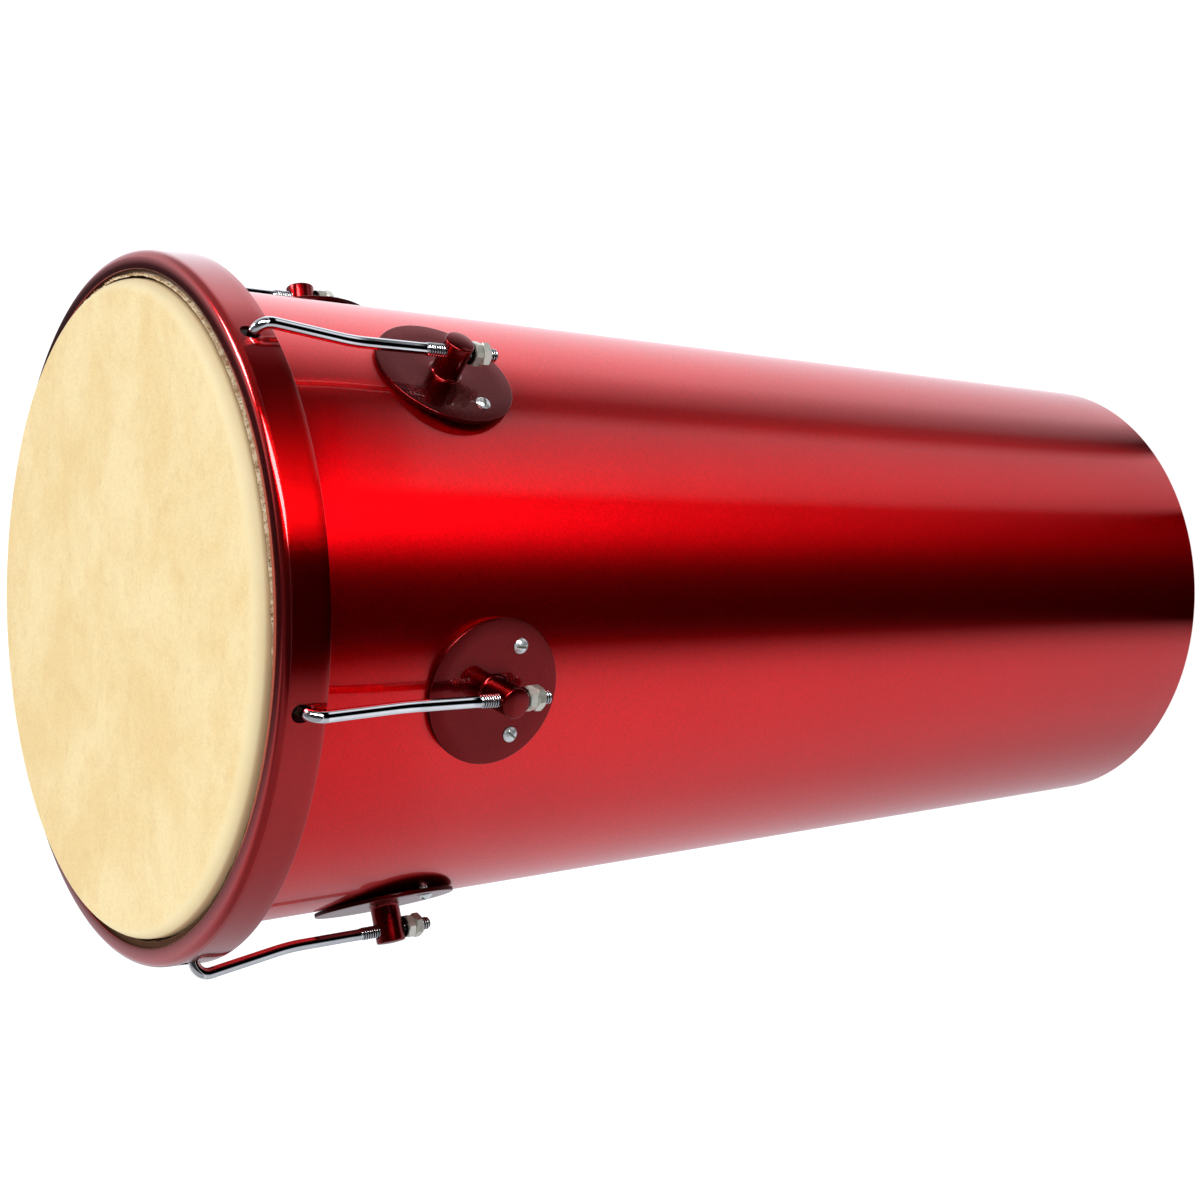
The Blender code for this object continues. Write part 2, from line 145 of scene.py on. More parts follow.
CAMERA_PLACE = Vector((266.3, -961.6, 992.0)) * MM
CAMERA_HEADING = math.radians(15.5)
CAMERA_DOWN = math.radians(33.69)
CAMERA_ROLL = math.radians(-91.18)
CAMERA_LENS = 67.42
CAMERA_SENSOR = 36


def make_camera():
    data = bpy.data.cameras.new("camera")
    data.lens = CAMERA_LENS
    data.sensor_width = CAMERA_SENSOR
    data.dof.use_dof = False
    camera = new_object("camera", data)
    turn = Matrix.Rotation(CAMERA_HEADING, 4, "Z")
    tilt = Matrix.Rotation(math.radians(90) - CAMERA_DOWN, 4, "X")
    roll = Matrix.Rotation(CAMERA_ROLL, 4, "Z")
    camera.matrix_world = Matrix.Translation(CAMERA_PLACE) @ turn @ tilt @ roll
    bpy.context.scene.camera = camera


# Materials


def feed(tree, socket, value):
    """Links a socket to another node's output, or gives it a value."""
    if isinstance(value, bpy.types.NodeSocket):
        tree.links.new(value, socket)
    elif isinstance(value, tuple) and len(value) == 3 and socket.type == "RGBA":
        socket.default_value = (*value, 1)
    else:
        socket.default_value = value


def math_node(tree, operation, first, second=0.0):
    node = tree.nodes.new("ShaderNodeMath")
    node.operation = operation
    feed(tree, node.inputs[0], first)
    feed(tree, node.inputs[1], second)
    return node.outputs[0]


def fill_ramp(node, stops):
    """Gives a ramp its colours, or greys given as one number, at rising places."""
    elements = node.color_ramp.elements
    while len(elements) < len(stops):
        elements.new(0.5)
    for element, (place, colour) in zip(elements, stops):
        element.position = place
        element.color = (*colour, 1) if isinstance(colour, tuple) else (colour, colour, colour, 1)


class Finish:
    """A Principled material, with short ways to add the nodes that shape it."""

    def __init__(self, name, **values):
        self.material = bpy.data.materials.new(name)
        self.material.use_nodes = True
        self.tree = self.material.node_tree
        self.shader = self.tree.nodes["Principled BSDF"]
        self.place = self.tree.nodes.new("ShaderNodeTexCoord").outputs["Object"]
        for socket, value in values.items():
            self.set(socket.replace("_", " "), value)

    def set(self, socket, value):
        feed(self.tree, self.shader.inputs[socket], value)

    def add(self, kind, inputs=(), **properties):
        node = self.tree.nodes.new(kind)
        for key, value in properties.items():
            setattr(node, key, value)
        for key, value in dict(inputs).items():
            feed(self.tree, node.inputs[key], value)
        return node

    def noise(self, size, detail=2.0, roughness=0.5, stretch=(1, 1, 1), distortion=0.0):
        """Noise whose grains are about size metres across."""
        scaled = self.add("ShaderNodeMapping", {"Vector": self.place, "Scale": stretch})
        values = {"Vector": scaled.outputs[0], "Scale": 1 / size, "Detail": detail}
        values.update({"Roughness": roughness, "Distortion": distortion})
        return self.add("ShaderNodeTexNoise", values).outputs["Fac"]

    def cells(self, size):
        values = {"Vector": self.place, "Scale": 1 / size}
        return self.add("ShaderNodeTexVoronoi", values)

    def ramp(self, fac, *stops):
        """Colours, or greys given as one number, at places along fac."""
        node = self.add("ShaderNodeValToRGB", {"Fac": fac})
        fill_ramp(node, stops)
        return node.outputs["Color"]

    def mix(self, fac, first, second, blend="MIX"):
        node = self.add("ShaderNodeMix", {"Factor": fac}, data_type="RGBA", blend_type=blend)
        feed(self.tree, node.inputs[6], first)
        feed(self.tree, node.inputs[7], second)
        return node.outputs[2]

    def span(self, value, low, high, start=0.0, end=1.0, kind="LINEAR"):
        """Runs from start to end as the value goes from low to high, and stays there beyond them."""
        inputs = {"Value": value, "From Min": low, "From Max": high, "To Min": start, "To Max": end}
        return self.add("ShaderNodeMapRange", inputs, interpolation_type=kind).outputs["Result"]

    def height(self):
        """Height along the piece's own Z axis."""
        return self.add("ShaderNodeSeparateXYZ", {"Vector": self.place}).outputs["Z"]

    def radius(self):
        """Distance from the piece's own Z axis."""
        split = self.add("ShaderNodeSeparateXYZ", {"Vector": self.place})
        square = math_node(self.tree, "MULTIPLY", split.outputs["X"], split.outputs["X"])
        other = math_node(self.tree, "MULTIPLY", split.outputs["Y"], split.outputs["Y"])
        return math_node(self.tree, "SQRT", math_node(self.tree, "ADD", square, other))

    def bump(self, height, depth, strength=1.0, normal=None):
        """A bump of depth metres for a height that runs from 0 to 1."""
        values = {"Height": height, "Strength": strength, "Distance": depth}
        if normal:
            values["Normal"] = normal
        return self.add("ShaderNodeBump", values).outputs["Normal"]


FLAKE_SIZE = 0.45 * MM
SPUN_EDGE = 1.5 * MM
# Below this height the red is painted darker and darker toward the foot, a painted shade
SHADED_BELOW = 420 * MM


def candy_paint(
    name,
    bright,
    deep,
    roughness,
    coat,
    sparkle=0.003 * MM,
    foot=None,
    spun_beyond=None,
    spread=0.9,
    polished=None,
):
    """Transparent red over fine metallic flake, under a clear gloss coat. The flake stands out by the
    sparkle's depth, and the red may turn to a darker one toward the drum's foot, a painted shade. Where the
    metal is spun, beyond a distance from the drum's axis, it spreads its highlights along the drum; nearer
    the axis it may have a polished roughness."""
    paint = Finish(name, Metallic=1.0, Coat_Weight=coat, Coat_Roughness=0.03, Coat_IOR=1.5)
    if spun_beyond is not None:
        edge = (paint.radius(), spun_beyond, spun_beyond + SPUN_EDGE)
        round_axis = paint.add("ShaderNodeTangent", direction_type="RADIAL", axis="Z")
        paint.set("Tangent", round_axis.outputs[0])
        paint.set("Anisotropic", paint.span(*edge, 0.0, spread))
        paint.set("Anisotropic Rotation", 0.25)
    flake = paint.cells(FLAKE_SIZE)
    depth = paint.noise(60 * MM, detail=3)
    tone = paint.mix(paint.ramp(depth, (0.3, 0.0), (0.7, 1.0)), bright, deep)
    # Darker red toward the foot: painted shade.
    if foot is not None:
        tone = paint.mix(paint.span(paint.height(), 0.0, SHADED_BELOW), foot, tone)
    glint = paint.ramp(flake.outputs["Color"], (0.0, 0.82), (1.0, 1.16))
    paint.set("Base Color", paint.mix(1.0, tone, glint, "MULTIPLY"))
    if polished is None:
        grain = paint.noise(0.9 * MM, detail=1)
        paint.set("Roughness", paint.ramp(grain, (0.3, roughness - 0.03), (0.7, roughness + 0.03)))
    else:
        paint.set("Roughness", paint.span(*edge, polished, roughness))
    paint.set("Normal", paint.bump(flake.outputs["Distance"], sparkle))
    peel = paint.noise(5 * MM, detail=1)
    paint.set("Coat Normal", paint.bump(peel, 0.006 * MM))
    return paint.material


def natural_hide():
    """Scraped hide: clouded tan, and stretched pale over the shoulder, partly a painted highlight. Brown
    between shoulder and hoop is painted shade with some stain.
    """
    hide = Finish("hide", Roughness=0.6, Specular_IOR_Level=0.2, Subsurface_Weight=0.12)
    hide.set("Subsurface Radius", (0.004, 0.0022, 0.001))
    hide.set("Subsurface Scale", 0.5)
    clouds = hide.noise(48 * MM, detail=5, roughness=0.62, stretch=(1, 1.15, 1), distortion=0.3)
    mottle = hide.noise(8 * MM, detail=5, roughness=0.65)
    fibres = hide.noise(1.1 * MM, detail=3, roughness=0.6, stretch=(1, 0.6, 1), distortion=0.4)
    pores = hide.cells(1.6 * MM).outputs["Distance"]
    tan = (0.86, 0.64, 0.315)
    light = (0.92, 0.735, 0.41)
    dark = (0.72, 0.49, 0.21)
    pale = (0.97, 0.81, 0.49)
    brown = (0.70, 0.50, 0.28)
    colour = hide.mix(hide.ramp(clouds, (0.38, 0.0), (0.62, 1.0)), tan, light)
    stain = hide.ramp(mottle, (0.52, 0.0), (0.78, 0.4))
    colour = hide.mix(stain, colour, dark)
    grain = hide.ramp(fibres, (0.3, 0.93), (0.7, 1.05))
    colour = hide.mix(1.0, colour, grain, "MULTIPLY")
    # Paler over the shoulder: partly the stretched hide, partly a painted highlight.
    shoulder = hide.span(hide.radius(), 147 * MM, 151 * MM, 0.0, 0.7, "SMOOTHSTEP")
    colour = hide.mix(shoulder, colour, pale)
    # Brown below the hoop's top, in the gap between shoulder and lip: painted shade with some stain.
    above_lip = hide.span(hide.height(), HOOP_TOP, HOOP_TOP + 2 * MM, kind="SMOOTHSTEP")
    hide.set("Base Color", hide.mix(above_lip, brown, colour))
    fine = hide.bump(fibres, 0.03 * MM)
    hide.set("Normal", hide.bump(pores, 0.012 * MM, normal=fine))
    return hide.material


def trimmed_hide():
    """The hide's cut and tucked edge: dry, pinkish, with brown flecks."""
    edge = Finish("trimmed_hide", Roughness=0.75, Specular_IOR_Level=0.25)
    blotch = edge.noise(3.2 * MM, detail=4, roughness=0.7)
    fleck = edge.noise(1.1 * MM, detail=3, roughness=0.7)
    colour = edge.ramp(
        blotch, (0.36, (0.40, 0.22, 0.09)), (0.48, (0.72, 0.52, 0.30)), (0.6, (0.94, 0.80, 0.55))
    )
    spots = edge.ramp(fleck, (0.36, 1.0), (0.44, 0.0))
    colour = edge.mix(spots, colour, (0.16, 0.07, 0.03))
    # Low down, in the gap under the hoop's lip, the edge is painted near black: painted shade.
    in_light = edge.span(edge.height(), 591.2 * MM, 592.2 * MM, kind="SMOOTHSTEP")
    edge.set("Base Color", edge.mix(in_light, (0.10, 0.045, 0.02), colour))
    edge.set("Normal", edge.bump(fleck, 0.25 * MM))
    return edge.material


def plated_metal(name, colour, roughness, scratch, grain_size, metallic=1.0, groove=None):
    """Plate over steel, clouded. Nearer the piece's own axis than the groove it is dark: painted shade in the
    thread.
    """
    metal = Finish(name, Metallic=metallic)
    cloud = metal.noise(grain_size, detail=3)
    low = tuple(0.86 * c for c in colour)
    tone = metal.mix(metal.ramp(cloud, (0.35, 0.0), (0.65, 1.0)), low, colour)
    # Thread roots painted near black: painted shade in the grooves.
    if groove:
        lit = metal.span(metal.radius(), groove - 0.1 * MM, groove + 0.1 * MM)
        tone = metal.mix(lit, (0.03, 0.03, 0.03), tone)
    metal.set("Base Color", tone)
    fine = metal.noise(0.3 * MM, detail=2)
    metal.set("Roughness", metal.ramp(cloud, (0.3, roughness * 0.8), (0.75, roughness * 1.3)))
    metal.set("Normal", metal.bump(fine, scratch))
    return metal.material


CANDY = candy_paint(
    "candy_paint",
    (0.92, 0.0014, 0.005),
    (0.84, 0.0012, 0.004),
    0.33,
    0.65,
    sparkle=0.012 * MM,
    # The darker red toward the foot is painted shade.
    foot=(0.52, 0.0008, 0.003),
    spun_beyond=0.0,
)
HOOP_CANDY = candy_paint(
    "hoop_candy_paint",
    (0.50, 0.0010, 0.002),
    (0.44, 0.0008, 0.002),
    0.26,
    0.9,
    spun_beyond=165 * MM,
    spread=1.0,
    polished=0.15,
)
LUG_CANDY = candy_paint("lug_candy_paint", (0.20, 0.0012, 0.003), (0.15, 0.0010, 0.002), 0.26, 0.3)
# Near-black red for what lies in shade: the cut walls of slots and holes, the shell under the hoop, the
# hoop's inside and the plates' lower rims. Painted shade.
SHADE_PAINT = candy_paint("dark_red_painted_shade", (0.05, 0.0006, 0.001), (0.03, 0.0005, 0.001), 0.6, 0.05)
HIDE = natural_hide()
TRIMMED_HIDE = trimmed_hide()
CHROME_COLOUR = (0.86, 0.87, 0.89)
CHROME = plated_metal("mirror_chrome", CHROME_COLOUR, 0.055, 0.0015 * MM, 12 * MM)
GROOVE = THREAD_ROOT_RADIUS + 0.6 * (THREAD_RADIUS - THREAD_ROOT_RADIUS)
THREAD_CHROME = plated_metal("thread_chrome", CHROME_COLOUR, 0.16, 0.0015 * MM, 12 * MM, groove=GROOVE)
NICKEL = plated_metal("satin_nickel", (0.82, 0.80, 0.71), 0.38, 0.006 * MM, 3 * MM, metallic=0.7)
ZINC = plated_metal("zinc_plate", (0.88, 0.93, 0.95), 0.24, 0.004 * MM, 2 * MM, metallic=0.55)
# Darker zinc in the screw's slot: painted shade in the recess.
SHADED_ZINC_SLOT = plated_metal("screw_slot_painted_shade", (0.34, 0.36, 0.30), 0.5, 0.004 * MM, 2 * MM)
DARK_STEEL = plated_metal("oiled_steel", (0.03, 0.02, 0.02), 0.4, 0.01 * MM, 2 * MM)
WIRE_STEEL = plated_metal("drawn_wire", (0.42, 0.41, 0.39), 0.4, 0.01 * MM, 4 * MM)


# Shapes


def shade(mesh, sharp):
    """Smooth, but for edges sharper than this many degrees."""
    mesh.shade_smooth()
    mesh.set_sharp_from_angle(angle=math.radians(sharp))


def add_mesh(name, vertices, faces, finish, sharp=SHARP_EDGE):
    """An object with its faces turned outward."""
    mesh = bpy.data.meshes.new(name)
    mesh.from_pydata([tuple(v) for v in vertices], [], faces)
    shape = bmesh.new()
    shape.from_mesh(mesh)
    bmesh.ops.recalc_face_normals(shape, faces=shape.faces)
    shape.to_mesh(mesh)
    shape.free()
    shade(mesh, sharp)
    mesh.materials.append(finish)
    return new_object(name, mesh)


def skinned(name, rings, finish, closed, sharp=SHARP_EDGE):
    """A skin over rings of equal numbers of points. Closed joins the last ring to the first; otherwise both
    ends are filled."""
    count = len(rings[0])
    vertices = [point for ring in rings for point in ring]
    faces = []
    for i in range(len(rings) if closed else len(rings) - 1):
        here = i * count
        there = (i + 1) % len(rings) * count
        for k in range(count):
            after = (k + 1) % count
            faces.append((here + k, here + after, there + after, there + k))
    if not closed:
        faces.append(tuple(range(count)))
        faces.append(tuple(range(len(vertices) - count, len(vertices))))
    return add_mesh(name, vertices, faces, finish, sharp)


def around(count):
    return [TURN * k / count for k in range(count)]


def point_at(radius, angle, height):
    return (radius * math.cos(angle), radius * math.sin(angle), height)


def turned(name, section, count, finish, closed=True, sharp=SHARP_EDGE):
    """A solid of revolution about Z, from the (radius, height) points of its section."""
    rings = [[point_at(r, a, z) for a in around(count)] for r, z in section]
    return skinned(name, rings, finish, closed, sharp)


def smooth(low, high, value):
    """0 below low and 1 above high, with a soft change between them."""
    share = min(1.0, max(0.0, (value - low) / (high - low)))
    return share * share * (3 - 2 * share)


def arc(centre, radius, start, end, steps):
    """Points on a circle round centre, from one angle to the other in degrees."""
    angles = [math.radians(start + (end - start) * i / steps) for i in range(steps + 1)]
    return [(centre[0] + radius * math.cos(a), centre[1] + radius * math.sin(a)) for a in angles]


def line(start, end, steps):
    """Points from start to end, both left out."""
    shares = [i / steps for i in range(1, steps)]
    return [tuple(a + (b - a) * t for a, b in zip(start, end)) for t in shares]


def cut(obj, cutter):
    """Takes the cutter out of the object, for good. The cut faces get the cutter's finish."""
    boolean = obj.modifiers.new("cut", "BOOLEAN")
    boolean.object = cutter
    boolean.operation = "DIFFERENCE"
    boolean.solver = "EXACT"
    boolean.material_mode = "TRANSFER"
    bpy.context.view_layer.update()
    evaluated = obj.evaluated_get(bpy.context.evaluated_depsgraph_get())
    mesh = bpy.data.meshes.new_from_object(evaluated)
    obj.modifiers.clear()
    obj.data = mesh
    shade(mesh, SHARP_EDGE)
    bpy.data.objects.remove(cutter, do_unlink=True)


def rod_shape(name, radius, length, count, widen=0.0):
    """A cutter along Z, drawn out along X by widen on each side."""
    rings = []
    for z in (-length / 2, length / 2):
        ring = []
        for a in around(count):
            x = radius * math.cos(a)
            ring.append((x + math.copysign(widen, x), radius * math.sin(a), z))
        rings.append(ring)
    # The cutter's near-black paint passes to the cut walls: painted shade in the slots and holes.
    return skinned(name, rings, SHADE_PAINT, closed=False)


def lug_matrix(angle):
    """The lug's own frame: Z out of the shell's wall and X along the wall, away from the head."""
    tilt = Matrix.Rotation(math.radians(90) + CONE_ANGLE, 4, "Y")
    out = Matrix.Translation((PLATE_BASE[0], 0, PLATE_BASE[1]))
    return Matrix.Rotation(angle, 4, "Z") @ out @ tilt


def rod_matrix(angle):
    """The rod's own frame, on the post's axis: Z along its straight length, to the head, and X outward."""
    out = Matrix.Translation((ROD_AXIS_RADIUS, 0, POST_AXIS_HEIGHT))
    return Matrix.Rotation(angle, 4, "Z") @ out @ Matrix.Rotation(CONE_ANGLE, 4, "Y")


def finish_piece(obj, body, slot, *nodes):
    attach(obj, body)
    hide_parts(*nodes)
    return obj


# Shell

SHELL_COUNT = 288
LUG_ANGLES = {n: math.radians(-90 + 60 * (n - 1)) for n in NUMBERS}


def make_shell():
    inner = BEAD_RADIUS - SHELL_WALL
    section = arc(BEAD_CENTRE, BEAD_RADIUS, 0, 180, 18)
    section += arc(BEAD_CENTRE, inner, 180, 0, 14)
    top_inside = (HEAD_RADIUS - SHELL_WALL, HOOP_BOTTOM)
    foot_inside = (FOOT_RADIUS - SHELL_WALL + SHELL_WALL * CONE_TAN, 3 * SHELL_WALL)
    section += [top_inside] + line(top_inside, foot_inside, 12) + [foot_inside]
    fold = 0.7 * MM
    hem = FOOT_RADIUS - HEM_WIDTH
    section += [(FOOT_RADIUS - 2.2 * SHELL_WALL, SHELL_WALL + 0.2 * MM), (hem + fold, SHELL_WALL)]
    section += arc((hem + fold, SHELL_WALL / 2), SHELL_WALL / 2, 90, 270, 6)[1:-1]
    section += [(hem + fold, 0)]
    section += arc((FOOT_RADIUS - fold, fold), fold, -90, 0, 6)
    foot_outside = (FOOT_RADIUS + 2 * fold * CONE_TAN, 2 * fold)
    top_outside = (HEAD_RADIUS, HOOP_BOTTOM)
    section += [foot_outside] + line(foot_outside, top_outside, 24) + [top_outside]
    shell = turned("shell_body", section, SHELL_COUNT, CANDY)
    shell.data.materials.append(SHADE_PAINT)
    # Above the hoop's bottom edge, hidden under the hoop, the shell takes the near-black paint: painted
    # shade.
    for face in shell.data.polygons:
        face.material_index = int(face.center.z > HOOP_BOTTOM)
    finish_piece(shell, "shell", "candy_red_lacquer", "shell")


# Counter hoop


def make_hoop():
    corner = (HOOP_RADIUS - HOOP_CORNER, HOOP_TOP - HOOP_CORNER)
    edge = 0.35 * MM
    steepest = 90 - math.degrees(LIP_SLOPE)
    fall = (corner[0] - HOOP_LIP_RADIUS) * math.tan(LIP_SLOPE)
    section = arc((corner[0], corner[1] - fall), HOOP_CORNER, steepest, 0, 16)
    foot = (HOOP_RADIUS - edge, HOOP_BOTTOM + edge)
    section += line((HOOP_RADIUS, corner[1] - fall), (HOOP_RADIUS, foot[1]), 4)
    section += arc(foot, edge, 0, -90, 3)
    section += arc((HOOP_RADIUS - HOOP_WALL + edge, HOOP_BOTTOM + edge), edge, -90, -180, 3)
    section += arc(corner, HOOP_CORNER - HOOP_WALL, 0, 90, 8)
    section += arc((HOOP_LIP_RADIUS + edge, HOOP_TOP - HOOP_WALL + edge), edge, 270, 180, 3)
    section += arc((HOOP_LIP_RADIUS + edge, HOOP_TOP - edge), edge, 180, steepest, 3)
    hoop = turned("counter_hoop_ring", section, SHELL_COUNT, HOOP_CANDY)
    hoop.data.materials.append(SHADE_PAINT)
    # The hoop's inside, under its lip and within its band, takes the near-black paint: painted shade.
    for face in hoop.data.polygons:
        reach = math.hypot(face.center.x, face.center.y)
        under = face.center.z < HOOP_TOP - 0.9 * HOOP_WALL and reach < HOOP_RADIUS - 0.9 * HOOP_WALL
        face.material_index = int(under)
    slot_middle = HOOK_HEIGHT - ROD_RADIUS - GAP + SLOT_LENGTH / 2
    for angle in LUG_ANGLES.values():
        slot = rod_shape("slot", SLOT_WIDTH / 2, 6 * HOOP_WALL, 32, (SLOT_LENGTH - SLOT_WIDTH) / 2)
        place = Matrix.Translation((HOOP_RADIUS, 0, slot_middle))
        outward = Matrix.Rotation(math.radians(90), 4, "Y")
        slot.matrix_world = Matrix.Rotation(angle, 4, "Z") @ place @ outward
        cut(hoop, slot)
    finish_piece(hoop, "hoop", "candy_red_lacquer", "counter_hoop")


def make_flesh_ring():
    section = arc(FLESH_RING_CENTRE, FLESH_RING_RADIUS, 0, 337.5, 15)
    wire = turned("flesh_ring_wire", section, 192, WIRE_STEEL)
    finish_piece(wire, "hoop", "wire_steel", "flesh_ring")


# Hide

HIDE_COUNT = 384
FRINGE_COUNT = 1440
FACE_RADII = (2, 8, 16, 26, 38, 50, 62, 74, 86, 98, 110, 120, 129, 136, 141)
SWELL_SIZE = 45 * MM
SWELL_HEIGHT = 0.12 * MM
FACE_SINK = 0.13 * MM
SKIRT_BELOW_RING = 2.6 * MM


def make_hide():
    """The playing face, its shoulder over the bearing edge and the skirt down to the flesh ring."""
    inside = BEAD_RADIUS + GAP
    outside = inside + SKIN_THICKNESS
    skirt_bottom = FLESH_RING_CENTRE[1] - SKIRT_BELOW_RING
    face = [(radius * MM, HEIGHT) for radius in FACE_RADII]
    section = face + arc(BEAD_CENTRE, outside, 90, 0, 16)
    middle = BEAD_CENTRE[0]
    section += line((middle + outside, BEAD_CENTRE[1]), (middle + outside, skirt_bottom), 8)
    section += [(middle + outside, skirt_bottom), (middle + inside, skirt_bottom)]
    section += line((middle + inside, skirt_bottom), (middle + inside, BEAD_CENTRE[1]), 8)
    section += arc(BEAD_CENTRE, inside, 0, 90, 12)
    section += [(radius, HEIGHT - SKIN_THICKNESS) for radius, _ in face[::-1]]
    hide = turned("hide_head", section, HIDE_COUNT, HIDE, closed=False, sharp=50)
    for vertex in hide.data.vertices:
        swell = noise.fractal(vertex.co / SWELL_SIZE, 1.0, 2.0, 3)
        vertex.co.z += SWELL_HEIGHT * swell - FACE_SINK
    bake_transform(hide)
    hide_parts("drum_skin", "skin_collar")
    tuck = make_tuck(middle + (inside + outside) / 2, skirt_bottom)


def make_tuck(start_radius, start_height):
    """The hide's edge: lapped under and round the flesh ring, then up between the shoulder and the hoop's lip
    to a rough cut."""
    lap = FLESH_RING_RADIUS + GAP + SKIN_THICKNESS / 2
    path = [
        (start_radius, start_height - 0.2 * MM),
        (start_radius + 0.3 * MM, start_height - 0.9 * MM),
        (start_radius + 1.2 * MM, start_height - 1.5 * MM),
        (start_radius + 2.6 * MM, start_height - 1.4 * MM),
    ]
    path += arc(FLESH_RING_CENTRE, lap, -110, 90, 12)
    fringe_start = len(path)
    path += [
        (157.6 * MM, 590.2 * MM),
        (156.7 * MM, 590.5 * MM),
        (156.0 * MM, 590.9 * MM),
        (155.5 * MM, 591.5 * MM),
        (155.2 * MM, 592.1 * MM),
        (155.0 * MM, 592.7 * MM),
    ]
    rings = [[] for _ in range(2 * len(path))]
    for angle in around(FRINGE_COUNT):
        spot = Vector((math.cos(angle), math.sin(angle), 0)) * HEAD_RADIUS
        coarse = noise.noise(spot / (9 * MM))
        fine = noise.noise(spot / (1.6 * MM) + Vector((0, 0, 7)))
        rough = noise.noise(spot / (0.7 * MM) + Vector((0, 0, 19)))
        proud = smooth(-0.25, 0.35, math.cos(angle - FRINGE_SIDE) + 0.15 * coarse)
        for i, (radius, height) in enumerate(path):
            share = max(0, i - fringe_start + 1) / (len(path) - fringe_start)
            lean = (0.55 * coarse + 0.45 * fine) * MM * share
            rise = (0.7 * coarse + 0.55 * fine + 0.3 * rough) * MM * share**2 * proud
            rise += (0.5 * proud - 1.5 * (1 - proud)) * MM * share
            x0, z0 = path[max(i - 1, 0)]
            x1, z1 = path[min(i + 1, len(path) - 1)]
            span = math.hypot(x1 - x0, z1 - z0)
            thickness = SKIN_THICKNESS * (1 + 0.5 * share * fine)
            for side, ring in ((0.5, i), (-0.5, len(rings) - 1 - i)):
                shift = side * thickness / span
                r = radius - (z1 - z0) * shift + lean
                z = height + (x1 - x0) * shift + rise
                rings[ring].append(point_at(r, angle, z))
    tuck = skinned("hide_tucked_edge", rings, TRIMMED_HIDE, closed=True, sharp=60)
    return finish_piece(tuck, "hoop", "natural_hide", "skin_tuck")


# Lugs


def make_lug_mesh():
    edge = 0.45 * MM
    weld = 1.6 * MM
    top = PLATE_THICKNESS + POST_HEIGHT
    dome = 0.45 * MM
    corner = 0.9 * MM
    section = [(0.4 * MM, top), (2 * MM, top - 0.04 * MM), (3.6 * MM, top - 0.15 * MM)]
    section += arc((POST_RADIUS - corner, top - dome - corner), corner, 78, 0, 8)
    section += line((POST_RADIUS, top - dome - corner), (POST_RADIUS, PLATE_THICKNESS + weld), 6)
    section += arc((POST_RADIUS + weld, PLATE_THICKNESS + weld), weld, 180, 270, 8)
    section += [(0.5 * PLATE_RADIUS, PLATE_THICKNESS), (0.75 * PLATE_RADIUS, PLATE_THICKNESS)]
    section += arc((PLATE_RADIUS - edge, PLATE_THICKNESS - edge), edge, 90, 0, 5)
    section += arc((PLATE_RADIUS - edge / 2, edge / 2), edge / 2, 0, -90, 3)
    section += [(0.5 * PLATE_RADIUS, 0), (0.4 * MM, 0)]
    lug = turned("lug_blank", section, 128, LUG_CANDY, closed=False, sharp=30)
    lug.data.materials.append(SHADE_PAINT)
    # The plate's rim toward the shell takes the near-black paint: painted shade.
    for face in lug.data.polygons:
        at_rim = math.hypot(face.center.x, face.center.y) > PLATE_RADIUS - edge / 2
        face.material_index = int(at_rim and face.center.z < PLATE_THICKNESS - edge / 2)
    hole = rod_shape("rod_hole", THREAD_RADIUS + ROD_CLEARANCE, 4 * POST_RADIUS, 40)
    across = Matrix.Rotation(math.radians(90), 4, "Y")
    hole.matrix_world = Matrix.Translation((0, 0, ROD_STATION)) @ across
    cut(lug, hole)
    for side in (-1, 1):
        drill = rod_shape("drill", SCREW_RADIUS + GAP, 4 * PLATE_THICKNESS, 24)
        drill.matrix_world = Matrix.Translation((SCREW_ALONG, side * SCREW_ACROSS, 0))
        cut(lug, drill)
    mesh = lug.data
    bpy.data.objects.remove(lug, do_unlink=True)
    return mesh


def make_lugs():
    mesh = make_lug_mesh()
    for number, angle in LUG_ANGLES.items():
        lug = new_object(f"lug_bracket_{number}", mesh.copy())
        lug.matrix_world = lug_matrix(angle)
        finish_piece(lug, "shell", "candy_red_lacquer", f"lug_{number}")


# Tension rods


def in_rod_frame(radius, height):
    """A place at this radius and height, as (X, Z) in the rod's own frame."""
    out, up = radius - ROD_AXIS_RADIUS, height - POST_AXIS_HEIGHT
    along, aside = math.cos(CONE_ANGLE), math.sin(CONE_ANGLE)
    return out * along - up * aside, out * aside + up * along


def rod_line():
    """The centreline above the thread, as (X, Z) in the rod's own frame."""
    hook_centre = in_rod_frame(HOOK_CENTRE_RADIUS, HOOK_HEIGHT - HOOK_BEND_RADIUS)
    hook_end = math.degrees(CONE_ANGLE) + 90
    lean = HOOK_LEAN - CONE_ANGLE
    hook = arc(hook_centre, HOOK_BEND_RADIUS, -math.degrees(lean), hook_end, 24)
    corner = hook[0][1] - hook[0][0] / math.tan(lean)
    reach = DOGLEG_BEND_RADIUS * math.tan(lean / 2)
    bend_centre = (DOGLEG_BEND_RADIUS, corner - reach)
    bend = arc(bend_centre, DOGLEG_BEND_RADIUS, 180, 180 - math.degrees(lean), 12)
    straight = line(bend[-1], hook[0], 8)
    tip_end = in_rod_frame(HOOK_TIP_RADIUS, HOOK_HEIGHT)
    return bend + straight + hook + line(hook[-1], tip_end, 4) + [tip_end]


